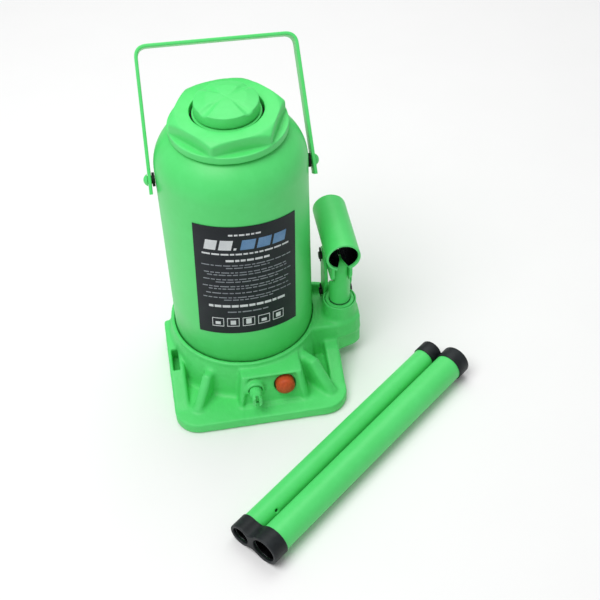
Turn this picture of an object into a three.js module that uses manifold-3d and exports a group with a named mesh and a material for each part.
// Hydraulic bottle jack with a carrying bail, a linked hand pump and its two-piece handle lying beside it.
// Millimetres, +Z up. The origin is on the ram's axis at floor level, the valves face -Y, the pump is on +X.

import * as THREE from 'three';
import { mergeVertices } from 'three/addons/utils/BufferGeometryUtils.js';
import Module from 'manifold-3d';

// ---------------------------------------------------------------- driving dimensions

const RUN = 0.3; // gap between pieces that touch or slide
const PI = Math.PI;

// foot plate and cast base
const PLATE_LEFT = -62.3;
const PLATE_RIGHT = 69.6;
const PLATE_FRONT = -86.2;
const PLATE_REAR_R = 66.5;
const PLATE_CORNER_R = 19;
const PLATE_TOP = 9;
const RING_TOP = 36;
const RING_R = 57.8;
const RING_FOOT_R = 64;
const LIP_TOP = 38.6;
const SEAT_FLOOR = 18;
const TANK_FLOOR = 31;
const BLOCK_TOP = 36;

// oil tank and main cylinder
const TANK_R = 54;
const TANK_WALL = 3;
const TANK_FOOT = 33.3;
const DOME_Z = 189.1;
const DOME_R = 30;
const NECK_R = 38.3;
const CYL_R = 37.5;
const CYL_BORE_R = 30;
const CYL_FOOT = 19.8;
const CYL_TOP = 215.2;
const NUT_SKIRT_R = 33;
const SKIRT_FOOT = 202;

// gland nut
const NUT_FLANGE_R = 41.7;
const NUT_FOOT = 216;
const FLANGE_TOP = 222.4;
const NUT_TOP = 232.3;
const NUT_HEX_R = 41.5;
const NUT_TURN = 8;
const NUT_BORE_R = 24.4;
const NUT_MOUTH_R = 25.5;

// ram, extension screw and saddle
const RAM_R = 24;
const RAM_TOP = 230.4;
const RAM_SPIGOT_R = 12;
const RAM_SHOULDER = 52;
const RAM_HOLE_R = 18.5;
const RAM_THREAD_R = 17.9;
const RAM_HOLE_FLOOR = 140;
const RAM_THREAD_FOOT = 209;
const SCREW_R = 17.5;
const SCREW_FOOT = 142;
const SADDLE_FOOT = 230.8;
const SADDLE_RIM = 239;
const SADDLE_TOP = 242;
const SADDLE_R = 22;
const SADDLE_FLAT_R = 6;
const SADDLE_TURN = -52;

// pump, seen along X: plunger axis, lever pins A and B, and the link's foot pin C
const PUMP_X = 74;
const PUMP_Y = -15.8;
const COLLAR_R = 13;
const COLLAR_TOP = 55;
const PUMP_BLOCK_TOP = 39.5;
const PUMP_BLOCK_FOOT = 10;
const PLUNGER_R = 8;
const PLUNGER_FOOT = 36;
const TONGUE_HALF = 5.2;
const TONGUE_R = 7;
const TONGUE_FOOT = 64;
const PIN_A = [PUMP_Y, 89.5];
const PIN_B = [1.2, 85.5];
const PIN_C = [1.6, 47];
const PIN_R = 3;
const PIN_HOLE_R = 3.2;
const PIN_B_HOLE_R = 5.6;
const EAR = [5.5, 7.9];
const LINK = [8.2, 10.6];
const LINK_R = 6.5;

// handle socket
const SOCKET_R = 12.9;
const SOCKET_BORE_R = 11;
const SOCKET_Z = 110.2;
const SOCKET_MOUTH = -32;
const SOCKET_BACK = 27;

// carrying bail
const BAIL_Z = 179.7;
const BAIL_LEAN = 36.6;
const BAIL_FOOT_X = 58.1;
const BAIL_PIVOT_X = 57.8;
const BAIL_TOP_X = 55.4;
const BAIL_LEFT = 91;
const BAIL_RIGHT = 88.4;
const BAIL_TAIL = 10;
const BAIL_CORNER = 8;
const STRIP = 2.3;
const STRIP_WIDTH = 16;

// valves: release and overload at [x, z] in the front block, discharge at [x, y] under the foot plate
const RELEASE = [-1.5, 24];
const OVERLOAD = [21.6, 24.2];
const DISCHARGE = [42, -14];

// filler plug in the tank's rear wall, and the label wrapped round its front
const FILLER_Z = 165;
const LABEL_LOW = 67.5;
const LABEL_HIGH = 169.5;
const LABEL_FROM = -128;
const LABEL_TO = -48;

// handle pack on the floor
const PACK_START = [-20, -207.9];
const PACK_TURN = 39.8;
const LARGE_R = 10.9;
const SMALL_R = 8.5;
const SMALL_OFFSET = 21.2;
const TUBE_WALL = 1.6;
const TUBE_MOUTH = 8;
const LARGE_END = 231.8;
const SMALL_END = 229;
const CAP_WALL = 0.8;
const CAP_LENGTH = 12;
const TWIN_CAP = [5.2, 18.6];

// ---------------------------------------------------------------- solids

const wasm = await Module();
wasm.setup();

// The closed, outward-facing solid of a three.js geometry.
function solid(geometry) {
  geometry.deleteAttribute('normal');
  geometry.deleteAttribute('uv');
  const merged = mergeVertices(geometry, 1e-4);
  const index = merged.index.array;
  const corner = [0, 1, 2].map(() => new THREE.Vector3());
  const triangles = [];
  let volume = 0;
  for (let i = 0; i < index.length; i += 3) {
    const face = [index[i], index[i + 1], index[i + 2]];
    if (new Set(face).size < 3) continue;
    face.forEach((v, k) => corner[k].fromBufferAttribute(merged.attributes.position, v));
    volume += corner[0].dot(corner[1].clone().cross(corner[2]));
    triangles.push(face);
  }
  if (volume < 0) triangles.forEach((face) => face.reverse());
  return new wasm.Manifold(new wasm.Mesh({
    numProp: 3,
    vertProperties: new Float32Array(merged.attributes.position.array),
    triVerts: new Uint32Array(triangles.flat()),
  }));
}

function geometryOf(manifold) {
  const mesh = manifold.getMesh();
  const geometry = new THREE.BufferGeometry();
  geometry.setAttribute('position', new THREE.BufferAttribute(mesh.vertProperties, 3));
  geometry.setIndex(new THREE.BufferAttribute(mesh.triVerts, 1));
  return geometry;
}

const join = (...pieces) => geometryOf(pieces.map(solid).reduce((a, b) => a.add(b)));
const cut = (body, ...tools) => geometryOf(tools.map(solid).reduce((a, b) => a.subtract(b), solid(body)));
const common = (...pieces) => geometryOf(pieces.map(solid).reduce((a, b) => a.intersect(b)));

// Upright round bar between two heights, with an optional other radius at the top.
function rod(radius, low, high, segments = 24, topRadius = radius) {
  const geometry = new THREE.CylinderGeometry(topRadius, radius, high - low, segments);
  return geometry.rotateX(PI / 2).translate(0, 0, (low + high) / 2);
}

// Round bars lying along X or Y. `at` is [y, z] or [x, z].
const rodX = (radius, low, high, at, segments) =>
  rod(radius, low, high, segments).rotateY(PI / 2).translate(0, at[0], at[1]);
const rodY = (radius, low, high, at, segments) =>
  rod(radius, -high, -low, segments).rotateX(PI / 2).translate(at[0], 0, at[1]);

// Solid of revolution about Z from [radius, height] points, closed on the axis or on itself.
function revolve(points, segments = 32) {
  const profile = points.map(([r, z]) => new THREE.Vector2(r, z));
  if (points[0][0] > 0) profile.push(profile[0].clone());
  return new THREE.LatheGeometry(profile, segments).rotateX(PI / 2);
}

const ring = (outer, inner, low, high, segments) =>
  revolve([[outer, low], [outer, high], [inner, high], [inner, low]], segments);

const block = (x, y, z) => new THREE.BoxGeometry(x[1] - x[0], y[1] - y[0], z[1] - z[0])
  .translate((x[0] + x[1]) / 2, (y[0] + y[1]) / 2, (z[0] + z[1]) / 2);

// Prisms whose outline is drawn in XY, XZ or YZ and which run along the third axis.
function prism(outline, low, high) {
  const shape = new THREE.Shape(outline.map(([u, v]) => new THREE.Vector2(u, v)));
  return new THREE.ExtrudeGeometry(shape, { depth: high - low, bevelEnabled: false }).translate(0, 0, low);
}
const prismXZ = (outline, low, high) => prism(outline, -high, -low).rotateX(PI / 2);
const prismYZ = (outline, low, high) => prism(outline, low, high).rotateX(PI / 2).rotateZ(PI / 2);

// Points of an arc in degrees, ends included.
function arc(centre, radius, from, to, steps = 8) {
  return Array.from({ length: steps + 1 }, (_, i) => {
    const angle = THREE.MathUtils.degToRad(from + ((to - from) * i) / steps);
    return [centre[0] + radius * Math.cos(angle), centre[1] + radius * Math.sin(angle)];
  });
}

class Helix extends THREE.Curve {
  constructor(radius, low, high, turns) {
    super();
    Object.assign(this, { radius, low, high, turns });
  }

  getPoint(t) {
    const angle = 2 * PI * this.turns * t;
    const z = this.low + (this.high - this.low) * t;
    return new THREE.Vector3(this.radius * Math.cos(angle), this.radius * Math.sin(angle), z);
  }
}

// Round-wire coil spring standing on Z.
function coil(radius, wire, low, high, turns) {
  const section = new THREE.Shape(arc([0, 0], wire, 0, 300, 5).map(([u, v]) => new THREE.Vector2(u, v)));
  const extrudePath = new Helix(radius, low + wire, high - wire, turns);
  return new THREE.ExtrudeGeometry(section, { steps: turns * 10, extrudePath, bevelEnabled: false });
}

const ball = (radius, x, y, z) => new THREE.SphereGeometry(radius, 12, 8).translate(x, y, z);

// ---------------------------------------------------------------- finishes

const finish = (color, roughness, metalness) =>
  () => new THREE.MeshStandardMaterial({ color, roughness, metalness, flatShading: true });

const PAINT = finish(0x55d36e, 0.45, 0.0);
const PLUG = finish(0xc8552a, 0.5, 0.0);
const BLACK_PLASTIC = finish(0x22282b, 0.6, 0.0);
const BLACK_STEEL = finish(0x26282a, 0.45, 0.8);
const STEEL = finish(0xb4b8bb, 0.35, 0.9);
const RUBBER = finish(0x1a1a1a, 0.8, 0.0);
const LABEL = finish(0x2b2f38, 0.5, 0.0);

const group = new THREE.Group();
group.name = 'bottle_jack';

function part(name, geometry, material) {
  const mesh = new THREE.Mesh(geometryOf(solid(geometry)), material());
  mesh.name = name;
  group.add(mesh);
}

// ---------------------------------------------------------------- cast base

// Straight sides with two round front corners, and a round rear struck from the ram's axis.
function plateOutline() {
  const r = PLATE_CORNER_R;
  const left = arc([PLATE_LEFT + r, PLATE_FRONT + r], r, 180, 270);
  const right = arc([PLATE_RIGHT - r, PLATE_FRONT + r], r, 270, 360);
  const rearEnd = 90 + THREE.MathUtils.radToDeg(Math.asin(-PLATE_LEFT / PLATE_REAR_R));
  const rear = arc([0, 0], PLATE_REAR_R, 6, rearEnd, 20);
  return [...left, ...right, [PLATE_RIGHT, -8], ...rear];
}

// Web that slopes down from the ring to the plate, at an angle from straight ahead towards +X.
function rib(angle, footRadius, thickness, top) {
  const profile = [[50, PLATE_TOP - 1], [footRadius, PLATE_TOP - 1], [footRadius, PLATE_TOP + 2],
    [footRadius - 19, top], [50, top]];
  return prismYZ(profile.map(([r, z]) => [-r, z]), -thickness / 2, thickness / 2)
    .rotateZ(THREE.MathUtils.degToRad(angle));
}

// Front block with its sloping face and the shallow alcove around the two valves.
function valveBlock() {
  const sides = [[-15, 8], [40, 8], [35.5, BLOCK_TOP], [-11.5, BLOCK_TOP]];
  const slope = [[-50, 8], [-75.2, 8], [-68, BLOCK_TOP], [-50, BLOCK_TOP]];
  return common(prismXZ(sides, -80, -45), prismYZ(slope, -20, 45));
}

function valveAlcove() {
  const opening = [[-11.5, PLATE_TOP], [33.5, PLATE_TOP], [30, 33.5], [-5, 33.5]];
  const slope = [[-72.2, PLATE_TOP], [-90, PLATE_TOP], [-90, 33.5], [-66, 33.5]];
  return common(prismXZ(opening, -90, -60), prismYZ(slope, -20, 45));
}

// Cast block under the pump, its round collar, and the lug that carries the link.
function pumpBoss() {
  const outline = [[48, -31], [69.8, -31.6], [85, -26.6], [89, -24], [89.8, -10], [88, 8],
    [84, 13.8], [48, 13.8]];
  const body = prism(outline, PUMP_BLOCK_FOOT, PUMP_BLOCK_TOP);
  const collar = revolve([[0, 30], [15.8, 30], [COLLAR_R + 0.1, 42], [COLLAR_R, COLLAR_TOP - 1],
    [COLLAR_R - 1, COLLAR_TOP], [0, COLLAR_TOP]], 32).translate(PUMP_X, PUMP_Y, 0);
  const lugHalf = LINK[0] - RUN;
  const lugTop = [[PUMP_Y, 30], ...arc(PIN_C, LINK_R, 0, 180, 10).reverse(), [PIN_C[0] + LINK_R, 30]];
  const lug = prismYZ(lugTop, PUMP_X - lugHalf, PUMP_X + lugHalf);
  const web = prismXZ([[50, 20], [65.8, 20], [65.8, 45], [50, 50]], 9.4, 13.8);
  return join(body, collar, lug, web);
}

function baseCasting() {
  const cone = revolve([[0, 4], [RING_FOOT_R, 4], [RING_FOOT_R, PLATE_TOP], [RING_R, RING_TOP - 1.5],
    [RING_R - 0.6, LIP_TOP - 0.8], [RING_R - 1.4, LIP_TOP], [0, LIP_TOP]], 56);
  const plate = prism(plateOutline(), 0, PLATE_TOP);
  const leftWall = prismYZ([[-67, 8], [-38, 24], [12, 27], [27, 8]], PLATE_LEFT + 0.2, -52);
  const rightWall = prismYZ([[-68, 8], [-40, 28], [-25, 32], [-25, 8]], 57.5, PLATE_RIGHT - 0.2);
  const ribs = [rib(-33.5, 86, 7.5, 30), rib(37, 90, 9, 34)];
  const body = join(plate, cone, leftWall, rightWall, ...ribs, valveBlock(), pumpBoss());
  const leftPocket = prismYZ([[-40, 11], [-37, 30], [-20, 30], [-16, 11]], -60.4, -56);
  const rightPocket = prismYZ([[-56, 11], [-38, 40], [-32, 40], [-32, 11]], 51, 57.4);
  const openings = [
    rod(CYL_R + 0.5, SEAT_FLOOR, 60, 40),
    rod(TANK_R + RUN, TANK_FLOOR, 60, 56),
    rod(11.5, 24, 60, 24).translate(PUMP_X, PUMP_Y, 0),
    rod(3, 15, 30, 16).translate(PUMP_X, PUMP_Y, 0),
    rod(6.5, 0, 20, 20).translate(PUMP_X, PUMP_Y, 0),
    rod(5.6, -1, 17, 20).translate(...DISCHARGE, 0),
    rod(2.2, 10, 22, 12).translate(...DISCHARGE, 0),
    rodX(2.2, 30, DISCHARGE[0] + 2, [DISCHARGE[1], 20.5], 12),
    rodX(PIN_R + 0.15, 60, 90, PIN_C, 24),
    rodY(5.3, -80, -47, RELEASE, 24),
    rodY(2.5, -50, -30, RELEASE, 12),
    rodY(8.1, -80, -62, OVERLOAD, 24),
    rodY(6.1, -70, -45, OVERLOAD, 20),
    rodY(2.2, -50, -25, OVERLOAD, 12),
  ];
  return cut(body, valveAlcove(), leftPocket, rightPocket, ...openings);
}

// ---------------------------------------------------------------- tank, cylinder and gland nut

function reservoir() {
  const centre = [TANK_R - DOME_R, DOME_Z];
  const top = THREE.MathUtils.radToDeg(Math.acos((NECK_R - centre[0]) / DOME_R));
  const inner = THREE.MathUtils.radToDeg(Math.acos((NECK_R - centre[0]) / (DOME_R - TANK_WALL)));
  const outside = arc(centre, DOME_R, 0, top, 6);
  const inside = arc(centre, DOME_R - TANK_WALL, inner, 0, 4);
  const shell = revolve([[TANK_R, TANK_FOOT], ...outside, ...inside, [TANK_R - TANK_WALL, TANK_FOOT]], 56);
  return cut(shell, rodY(6.2, 40, 70, [0, FILLER_Z], 20));
}

function mainCylinder() {
  const counterbore = NUT_SKIRT_R + RUN;
  return revolve([[CYL_R, CYL_FOOT], [CYL_R, CYL_TOP], [counterbore, CYL_TOP],
    [counterbore, SKIRT_FOOT - 1], [CYL_BORE_R, SKIRT_FOOT - 1], [CYL_BORE_R, CYL_FOOT]], 40);
}

// Round flange with a chamfered hexagon above it and a skirt that screws into the cylinder.
function glandNut() {
  const corners = arc([0, 0], NUT_HEX_R, 0, 300, 5);
  const hexagon = prism(corners, FLANGE_TOP - 1, NUT_TOP).rotateZ(THREE.MathUtils.degToRad(NUT_TURN));
  const chamfer = revolve([[0, FLANGE_TOP - 2], [NUT_HEX_R + 1, FLANGE_TOP - 2], [NUT_HEX_R + 1, 228.6],
    [36, 231.2], [33, NUT_TOP], [0, NUT_TOP]], 48);
  const round = revolve([[0, SKIRT_FOOT], [NUT_SKIRT_R, SKIRT_FOOT], [NUT_SKIRT_R, NUT_FOOT],
    [NUT_FLANGE_R, NUT_FOOT], [NUT_FLANGE_R, FLANGE_TOP - 0.8], [NUT_FLANGE_R - 1, FLANGE_TOP],
    [0, FLANGE_TOP]], 40);
  const bore = revolve([[0, 190], [NUT_BORE_R, 190], [NUT_BORE_R, 204], [27.5, 204], [27.5, 210],
    [NUT_BORE_R, 210], [NUT_BORE_R, 222], [27.5, 222], [27.5, 226], [NUT_MOUTH_R, 226],
    [NUT_MOUTH_R, NUT_TOP - 0.7], [NUT_MOUTH_R + 0.9, NUT_TOP + 0.2], [NUT_MOUTH_R + 0.9, 240],
    [0, 240]], 40);
  return cut(join(round, common(hexagon, chamfer)), bore);
}

// ---------------------------------------------------------------- ram, screw and saddle

function ram() {
  return revolve([[0, 24], [RAM_SPIGOT_R, 24], [RAM_SPIGOT_R, RAM_SHOULDER], [RAM_R, RAM_SHOULDER],
    [RAM_R, RAM_TOP - 1], [RAM_R - 1, RAM_TOP], [RAM_THREAD_R, RAM_TOP], [RAM_THREAD_R, RAM_THREAD_FOOT],
    [RAM_HOLE_R, RAM_THREAD_FOOT], [RAM_HOLE_R, RAM_HOLE_FLOOR], [0, RAM_HOLE_FLOOR]], 40);
}

function extensionScrew() {
  return revolve([[0, SCREW_FOOT], [SCREW_R, SCREW_FOOT], [SCREW_R, 145.5], [15, 145.5], [15, 148.5],
    [SCREW_R, 148.5], [SCREW_R, SADDLE_FOOT - RUN], [9.7, SADDLE_FOOT - RUN], [9.7, 236], [0, 236]], 32);
}

// Domed cap with a flat centre and four notches that widen outwards.
function saddle() {
  const cap = revolve([[0, SADDLE_FOOT], [SADDLE_R + 0.2, SADDLE_FOOT], [SADDLE_R + 1.2, SADDLE_FOOT + 1],
    [SADDLE_R, SADDLE_RIM], [SADDLE_R - 1, SADDLE_RIM + 0.7], [14, SADDLE_TOP - 0.8],
    [SADDLE_FLAT_R, SADDLE_TOP], [0, SADDLE_TOP]], 48);
  const notch = [0, 90, 180, 270].map((angle) => new THREE.CylinderGeometry(0.6, 5.2, 20, 10)
    .scale(1, 1, 0.6)
    .rotateZ(PI / 2)
    .translate(-17, 0, SADDLE_TOP - 0.2)
    .rotateZ(THREE.MathUtils.degToRad(angle + SADDLE_TURN + 180)));
  const socket = rod(10, SADDLE_FOOT - 1, 236.4, 32);
  return cut(cap, socket, ...notch);
}

function hexNut(acrossCorners, hole, low, high) {
  return cut(rod(acrossCorners, low, high, 6), rod(hole, low - 1, high + 1, 24));
}

// Open ring with a gap, as a snap ring has.
function snapRing(outer, inner, low, high) {
  return cut(ring(outer, inner, low, high, 32), block([0, outer + 1], [-2, 2], [low - 1, high + 1]));
}

// ---------------------------------------------------------------- pump and linkage

// Headed pin along X through both ears, with a cross hole for its split pin at the -X end.
function clevisPin(at) {
  const head = rodX(4.4, PUMP_X + LINK[1] + RUN, PUMP_X + LINK[1] + 2.2, at, 20);
  const shank = rodX(PIN_R, PUMP_X - 13.2, PUMP_X + LINK[1] + 1, at, 24);
  const hole = rod(1.1, at[1] - 5, at[1] + 5, 12).translate(PUMP_X - 11.9, at[0], 0);
  return cut(join(head, shank), hole);
}

// Split pin: an eye above the pin and a leg through it.
function splitPin(at) {
  const leg = rod(0.85, at[1] - 5.5, at[1] + 4.2, 10);
  const eye = new THREE.TorusGeometry(1.7, 0.85, 8, 14).rotateY(PI / 2).translate(0, 0, at[1] + 5.2);
  return join(leg, eye).translate(PUMP_X - 11.9, at[0], 0);
}

// Hidden pin A is shorter: it ends flush with the ears.
const leverPin = () => rodX(PIN_R - 0.05, PUMP_X - EAR[1], PUMP_X + EAR[1], PIN_A, 24);

function plunger() {
  const body = rod(PLUNGER_R, PLUNGER_FOOT, PIN_A[1] + TONGUE_R, 32).translate(PUMP_X, PUMP_Y, 0);
  const sides = [-1, 1].map((side) => {
    const x = [TONGUE_HALF, TONGUE_HALF + 5].map((d) => PUMP_X + side * d).sort((a, b) => a - b);
    return block(x, [PUMP_Y - 10, PUMP_Y + 10], [TONGUE_FOOT, 110]);
  });
  const top = [[PUMP_Y - 10, PLUNGER_FOOT - 1], [PUMP_Y + 10, PLUNGER_FOOT - 1],
    [PUMP_Y + 10, PIN_A[1] - 3], [PUMP_Y + TONGUE_R, PIN_A[1]], ...arc(PIN_A, TONGUE_R, 15, 165, 8),
    [PUMP_Y - TONGUE_R, PIN_A[1]], [PUMP_Y - 10, PIN_A[1] - 3]];
  const rounded = common(body, prismYZ(top, PUMP_X - 10, PUMP_X + 10));
  const groove = ring(PLUNGER_R + 1, 6.4, 39, 43, 32).translate(PUMP_X, PUMP_Y, 0);
  return cut(rounded, ...sides, groove, rodX(PIN_R + 0.1, PUMP_X - 10, PUMP_X + 10, PIN_A, 24));
}

// Rolled sleeve with an open seam, a V at its mouth and two hanging ears.
function handleSocket() {
  const sleeve = rodY(SOCKET_R, SOCKET_MOUTH, SOCKET_BACK, [PUMP_X, SOCKET_Z], 40);
  const outline = [[-24.6, 102], ...arc(PIN_A, 8.2, 180, 255, 6), ...arc(PIN_B, 9, 265, 360, 6), [11, 102]];
  const ears = [-1, 1].map((side) => {
    const x = EAR.map((d) => PUMP_X + side * d).sort((a, b) => a - b);
    return prismYZ(outline, x[0], x[1]);
  });
  const bore = rodY(SOCKET_BORE_R, SOCKET_MOUTH - 5, SOCKET_BACK + 5, [PUMP_X, SOCKET_Z], 32);
  const seam = block([PUMP_X - 0.7, PUMP_X + 0.7], [-40, 40], [90, SOCKET_Z]);
  const mouth = prism([[PUMP_X - 4.5, SOCKET_MOUTH - 1], [PUMP_X + 4.5, SOCKET_MOUTH - 1],
    [PUMP_X, SOCKET_MOUTH + 14]], 90, SOCKET_Z - 5);
  const holes = [rodX(PIN_HOLE_R, 50, 100, PIN_A, 24), rodX(PIN_B_HOLE_R, 50, 100, PIN_B, 24)];
  return cut(join(sleeve, ...ears), bore, seam, mouth, ...holes);
}

function linkPlate(side) {
  const x = LINK.map((d) => PUMP_X + side * d).sort((a, b) => a - b);
  const bulge = [[-9.5, 80], [-12, 74.5], [-12, 67], [-9.5, 61.5], [-5.2, 58]];
  const outline = [...arc(PIN_B, LINK_R + 0.5, 0, 180, 10), ...bulge, ...arc(PIN_C, LINK_R, 180, 360, 10)];
  const holes = [PIN_B, PIN_C].map((pin) => rodX(PIN_HOLE_R, x[0] - 1, x[1] + 1, pin, 24));
  return cut(prismYZ(outline, x[0], x[1]), ...holes);
}

// ---------------------------------------------------------------- bail

// Flat strip bent into a U; its wide side stands square to the plane of the U.
function bail() {
  const path = new THREE.Path();
  const turn = (corner, from, to) => {
    const inTo = corner.clone().add(from.clone().sub(corner).setLength(BAIL_CORNER));
    const outOf = corner.clone().add(to.clone().sub(corner).setLength(BAIL_CORNER));
    path.lineTo(inTo.x, inTo.y);
    path.quadraticCurveTo(corner.x, corner.y, outOf.x, outOf.y);
  };
  const [a, b, c, d] = [[-BAIL_FOOT_X, -BAIL_TAIL], [-BAIL_TOP_X, BAIL_LEFT], [BAIL_TOP_X, BAIL_RIGHT],
    [BAIL_FOOT_X, -BAIL_TAIL]].map(([x, y]) => new THREE.Vector2(x, y));
  path.moveTo(a.x, a.y);
  turn(b, a, c);
  turn(c, b, d);
  path.lineTo(d.x, d.y);
  const line = path.getPoints(6);
  const side = (offset) => line.map((p, i) => {
    const along = line[Math.min(i + 1, line.length - 1)].clone().sub(line[Math.max(i - 1, 0)]).normalize();
    return [p.x - along.y * offset, p.y + along.x * offset];
  });
  const outline = [...side(STRIP / 2), ...side(-STRIP / 2).reverse()];
  const strip = prismXZ(outline, -STRIP_WIDTH / 2, STRIP_WIDTH / 2);
  const holes = cut(strip, rodX(3.4, -70, 70, [0, 0], 20));
  return holes.rotateX(-THREE.MathUtils.degToRad(BAIL_LEAN)).translate(0, 0, BAIL_Z);
}

// Shoulder stud welded to the tank wall, with a round head outside the strip.
function bailStud(side) {
  const head = BAIL_PIVOT_X + STRIP / 2 + 1.5 * RUN;
  const profile = [[0, TANK_R + RUN], [3, TANK_R + RUN], [3, head], [4.8, head], [4.4, head + 1.4],
    [2.6, head + 2.4], [0, head + 2.6]];
  return revolve(profile, 20).rotateY((side * PI) / 2).translate(0, 0, BAIL_Z);
}

const bailSpacer = (side) => ring(5, 3.3, TANK_R + RUN, BAIL_PIVOT_X - STRIP / 2 - 1.5 * RUN, 20)
  .rotateY((side * PI) / 2)
  .translate(0, 0, BAIL_Z);

// ---------------------------------------------------------------- handle pack

// Lays a piece modelled along +Z in the pack's direction, its cap resting on the floor.
const lay = (geometry, radius, aside) => geometry
  .rotateY(PI / 2)
  .translate(0, aside, radius + CAP_WALL)
  .rotateZ(THREE.MathUtils.degToRad(PACK_TURN))
  .translate(PACK_START[0], PACK_START[1], 0);

const large = (geometry) => lay(geometry, LARGE_R, 0);
const small = (geometry) => lay(geometry, SMALL_R, SMALL_OFFSET);

const packTube = (radius, end) => ring(radius, radius - TUBE_WALL, TUBE_MOUTH, end, 24);

// Closed cap over the far end of a tube.
function endCap(radius, to) {
  const outer = radius + CAP_WALL;
  const from = to - CAP_LENGTH;
  return revolve([[outer, from], [outer, to - 1], [outer - 1, to], [0, to], [0, to - 1.2],
    [radius + 0.15, to - 1.2], [radius + 0.15, from]].reverse(), 24);
}

// Figure-eight cap with open bores over the near ends of both tubes.
function twinCap() {
  const bridge = large(block([-6.5, 3.5], [2, 19], TWIN_CAP));
  const sides = [[large, LARGE_R], [small, SMALL_R]];
  const sleeves = sides.map(([side, radius]) => side(rod(radius + CAP_WALL, ...TWIN_CAP, 28)));
  const bores = sides.flatMap(([side, radius]) => [
    side(rod(radius + RUN / 2, TUBE_MOUTH - RUN, TWIN_CAP[1] + 1, 28)),
    side(rod(radius - TUBE_WALL, TWIN_CAP[0] - 1, TWIN_CAP[1] + 1, 28)),
  ]);
  return cut(join(bridge, ...sleeves), ...bores);
}

// ---------------------------------------------------------------- assembly

function addBase() {
  part('base_casting', baseCasting(), PAINT);
  part('reservoir_tube', reservoir(), PAINT);
  part('reservoir_gasket', ring(TANK_R - 0.2, TANK_R - TANK_WALL - 0.4, TANK_FLOOR + 0.2,
    TANK_FOOT - RUN, 40), RUBBER);
  part('main_cylinder', mainCylinder(), STEEL);
  part('cylinder_gasket', ring(CYL_R - 0.3, CYL_BORE_R + 1, SEAT_FLOOR + 0.2, CYL_FOOT - 0.2, 40), RUBBER);
  part('gland_nut', glandNut(), PAINT);
  part('ram_seal', ring(27.2, RAM_R + 0.2, 204.3, 209.7, 40), RUBBER);
  part('ram_wiper', ring(27.2, RAM_R + 0.2, 222.3, 225.7, 40), RUBBER);
  part('oil_filler_plug', revolve([[0, 49], [6, 49], [6, 54.6], [8, 54.6], [7.6, 56.4], [0, 57]], 20)
    .rotateX(-PI / 2).translate(0, 0, FILLER_Z), RUBBER);
  part('info_label', infoLabel(), LABEL);
}

function addPumpBase() {
  const onPump = (geometry) => geometry.translate(PUMP_X, PUMP_Y, 0);
  part('pump_cylinder', onPump(ring(11.2, 8.3, 25.5, COLLAR_TOP - 0.8, 32)), STEEL);
  part('pump_cylinder_washer', onPump(ring(11.2, 6.5, 24.2, 25.2, 24)), STEEL);
  part('suction_ball', ball(3.5, PUMP_X, PUMP_Y, 26.1), STEEL);
  const suctionPlug = cut(rod(6.2, 10.6, 19.7, 20), rod(2.6, 10, 14, 6), rod(1.5, 9, 30, 10));
  part('suction_plug', onPump(suctionPlug), STEEL);
  part('discharge_plug', cut(rod(5.3, 1.5, 8, 20), rod(2.6, 1, 4.5, 6)).translate(...DISCHARGE, 0), STEEL);
  part('discharge_spring', coil(3, 0.5, 8.3, 13, 3).translate(...DISCHARGE, 0), STEEL);
  part('discharge_ball', ball(1.9, ...DISCHARGE, 15), STEEL);
  part('link_foot_pin', clevisPin(PIN_C), STEEL);
  part('link_foot_split_pin', splitPin(PIN_C), BLACK_STEEL);
}

function addValves() {
  const overload = (geometry) => geometry.rotateX(PI / 2).translate(OVERLOAD[0], 0, OVERLOAD[1]);
  const cap = revolve([[0, 63.5], [7.3, 63.5], [7.3, 70.4], [6.2, 72.8], [3.6, 74.3], [0, 74.9]], 28);
  const adjuster = cut(rod(5.8, 58, 63.2, 20), block([-4, 4], [-0.7, 0.7], [62, 64]));
  part('overload_cap', overload(cap), PLUG);
  part('overload_adjuster', overload(adjuster), STEEL);
  part('overload_spring', overload(coil(3.6, 0.8, 50.5, 57.7, 3)), STEEL);
  part('overload_spring_seat', overload(rod(4.6, 48.6, 50.2, 16)), STEEL);
  part('overload_ball', ball(2, OVERLOAD[0], -46.5, OVERLOAD[1]), STEEL);
  part('release_ball', ball(3.2, RELEASE[0], -50.6, RELEASE[1]), STEEL);
}

function addBailStuds() {
  for (const [name, side] of [['left', -1], ['right', 1]]) {
    part(`bail_stud_${name}`, bailStud(side), PAINT);
    part(`bail_spacer_${name}`, bailSpacer(side), BLACK_STEEL);
  }
}

function infoLabel() {
  const band = ring(TANK_R + 0.55, TANK_R + 0.2, LABEL_LOW, LABEL_HIGH, 96);
  const wedge = [[0, 0], ...arc([0, 0], 90, LABEL_FROM, LABEL_TO, 8)];
  return common(band, prism(wedge, LABEL_LOW - 1, LABEL_HIGH + 1));
}

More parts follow.
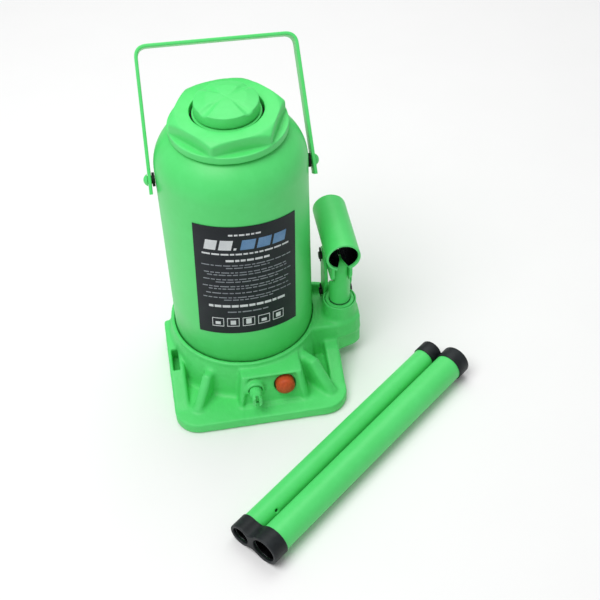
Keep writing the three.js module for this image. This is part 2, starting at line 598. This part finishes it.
function addRam() {
  part('ram', ram(), PAINT);
  part('piston_head', revolve([[12.3, 30], [29.6, 30], [29.6, 36], [25, 36], [25, 41.5], [29.6, 41.5],
    [29.6, 51.7], [12.3, 51.7]], 40), STEEL);
  part('piston_seal', ring(29.8, 25.2, 36.2, 41.3, 40), RUBBER);
  part('piston_nut', hexNut(20, 12.2, 24.5, 29.7), STEEL);
  part('screw_stop_ring', snapRing(18.2, 15.3, 145.8, 148.2), STEEL);
  part('extension_screw', extensionScrew(), STEEL);
  part('saddle', saddle(), PAINT);
}

function addPumpMotion() {
  part('pump_plunger', plunger(), PAINT);
  part('plunger_seal', ring(8.2, 6.6, 39.2, 42.8, 32).translate(PUMP_X, PUMP_Y, 0), RUBBER);
  part('lever_pin', leverPin(), STEEL);
  part('handle_socket', handleSocket(), PAINT);
  part('link_plate_left', linkPlate(-1), PAINT);
  part('link_plate_right', linkPlate(1), PAINT);
  part('link_top_pin', clevisPin(PIN_B), STEEL);
  part('link_top_split_pin', splitPin(PIN_B), BLACK_STEEL);
}

// Screw along -Y whose outer end has two flats and a slot, so the handle's end turns it.
function releaseScrew() {
  const profile = [[0, 54.2], [2.6, 54.2], [5, 57], [5, 66], [3.6, 66], [3.6, 69], [5, 69],
    [5, 83.4], [4.2, 84.2], [0, 84.2]];
  const slot = block([-0.9, 0.9], [-6, 6], [80.4, 90]);
  const flats = [[-8, -4], [4, 8]].map((x) => block(x, [-6, 6], [77, 90]));
  return cut(revolve(profile, 24), slot, ...flats).rotateX(PI / 2).translate(RELEASE[0], 0, RELEASE[1]);
}

function addReleaseValve() {
  part('release_screw', releaseScrew(), PAINT);
  part('release_screw_o_ring', ring(5.1, 3.8, 66.3, 68.7, 24).rotateX(PI / 2)
    .translate(RELEASE[0], 0, RELEASE[1]), RUBBER);
}

function addHandlePack() {
  part('handle_tube_large', large(packTube(LARGE_R, LARGE_END)), PAINT);
  part('handle_tube_small', small(packTube(SMALL_R, SMALL_END)), PAINT);
  part('handle_twin_cap', twinCap(), BLACK_PLASTIC);
  part('handle_end_cap_large', large(endCap(LARGE_R, LARGE_END + 1.5)), BLACK_PLASTIC);
  part('handle_end_cap_small', small(endCap(SMALL_R, SMALL_END + 1.5)), BLACK_PLASTIC);
}

addBase();
addPumpBase();
addValves();
addBailStuds();
addRam();
addPumpMotion();
part('carrying_bail', bail(), PAINT);
addReleaseValve();
addHandlePack();

export default group;
